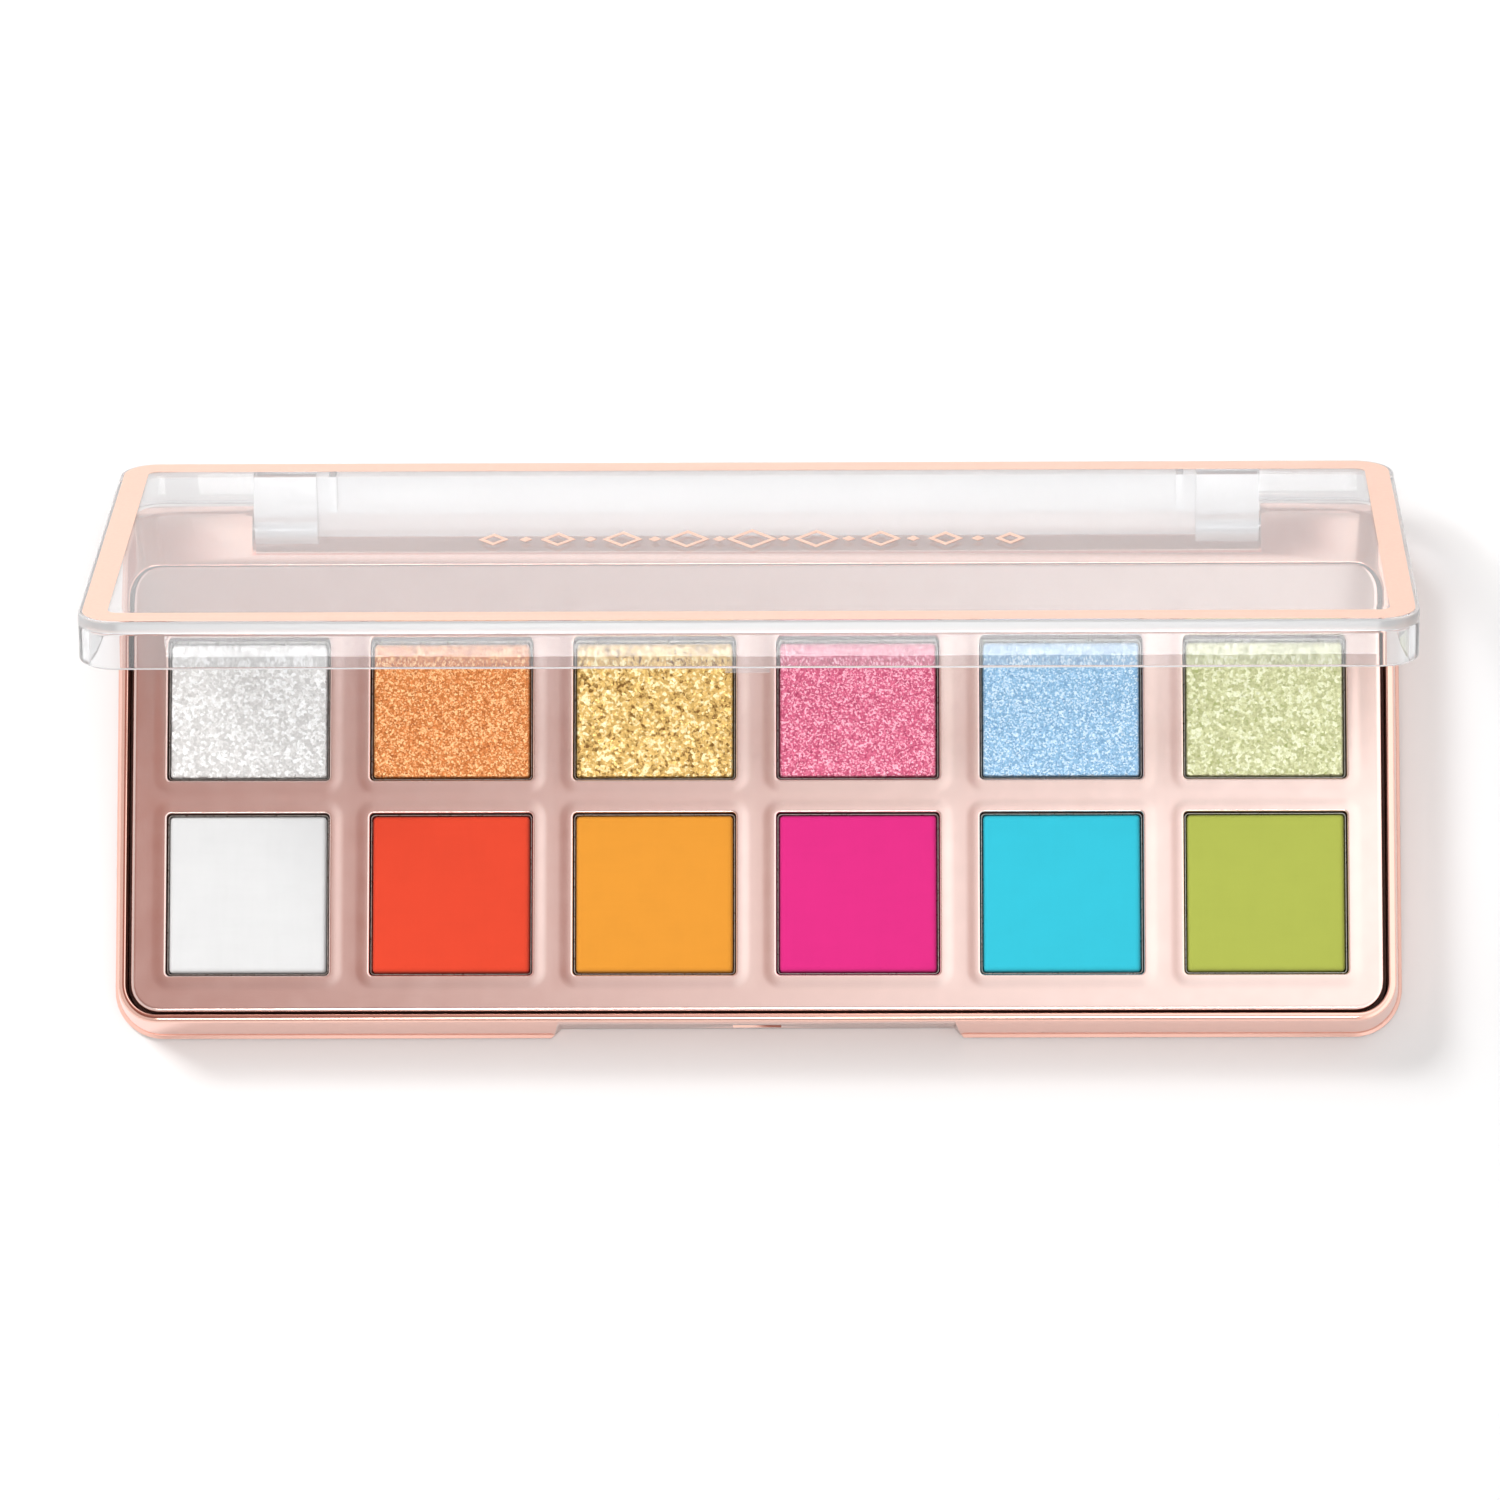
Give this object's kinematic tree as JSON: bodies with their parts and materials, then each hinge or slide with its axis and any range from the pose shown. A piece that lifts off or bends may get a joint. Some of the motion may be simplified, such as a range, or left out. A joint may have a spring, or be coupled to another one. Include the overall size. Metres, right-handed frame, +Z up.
{
  "type": "eyeshadow palette",
  "caption": "Slim rectangular eyeshadow palette: two rows of square pressed-powder pans in a rose-gold tray under a clear hinged lid, standing part open.",
  "frame": {"origin": "on the table plane, under the middle of the case's outline at the parting line", "axes": "+X along the width, to the right seen from the front; +Y towards the hinge; +Z up from the table"},
  "size_m": [0.1508, 0.0668, 0.0626],
  "materials": {
    "rose_metallised": "polished metallised rose gold",
    "rose_deck": "polished metallised rose gold",
    "tinplate": "satin",
    "hot_melt_glue": "satin",
    "pin_steel": "satin",
    "label_paper": "matte",
    "clear_plastic": "polished clear",
    "peach_print": "satin print",
    "powder_top_1": "pressed shimmer powder",
    "powder_top_2": "pressed shimmer powder",
    "powder_top_3": "pressed shimmer powder",
    "powder_top_4": "pressed shimmer powder",
    "powder_top_5": "pressed shimmer powder",
    "powder_top_6": "pressed shimmer powder",
    "powder_bottom_1": "pressed matte powder",
    "powder_bottom_2": "pressed matte powder",
    "powder_bottom_3": "pressed matte powder",
    "powder_bottom_4": "pressed matte powder",
    "powder_bottom_5": "pressed matte powder",
    "powder_bottom_6": "pressed matte powder"
  },
  "bodies": {
    "root": {"base_shell": "rose_metallised", "pan_deck": "rose_deck", "pan_top_1": "tinplate", "pan_top_2": "tinplate", "pan_top_3": "tinplate", "pan_top_4": "tinplate", "pan_top_5": "tinplate", "pan_top_6": "tinplate", "pan_bottom_1": "tinplate", "pan_bottom_2": "tinplate", "pan_bottom_3": "tinplate", "pan_bottom_4": "tinplate", "pan_bottom_5": "tinplate", "pan_bottom_6": "tinplate", "powder_top_1": "powder_top_1", "powder_top_2": "powder_top_2", "powder_top_3": "powder_top_3", "powder_top_4": "powder_top_4", "powder_top_5": "powder_top_5", "powder_top_6": "powder_top_6", "powder_bottom_1": "powder_bottom_1", "powder_bottom_2": "powder_bottom_2", "powder_bottom_3": "powder_bottom_3", "powder_bottom_4": "powder_bottom_4", "powder_bottom_5": "powder_bottom_5", "powder_bottom_6": "powder_bottom_6", "pan_glue": "hot_melt_glue", "hinge_pin_left": "pin_steel", "hinge_pin_right": "pin_steel", "base_label": "label_paper"},
    "lid": {"lid_shell": "clear_plastic", "lid_border_print": "peach_print", "lid_ornament_print": "peach_print"}
  },
  "joints": [
    {"name": "lid_hinge", "type": "hinge", "parent": "root", "child": "lid", "pos_m": [0, 0.0275, 0.0076], "axis": [-1, 0, 0], "range_deg": [-64, 41]}
  ]
}
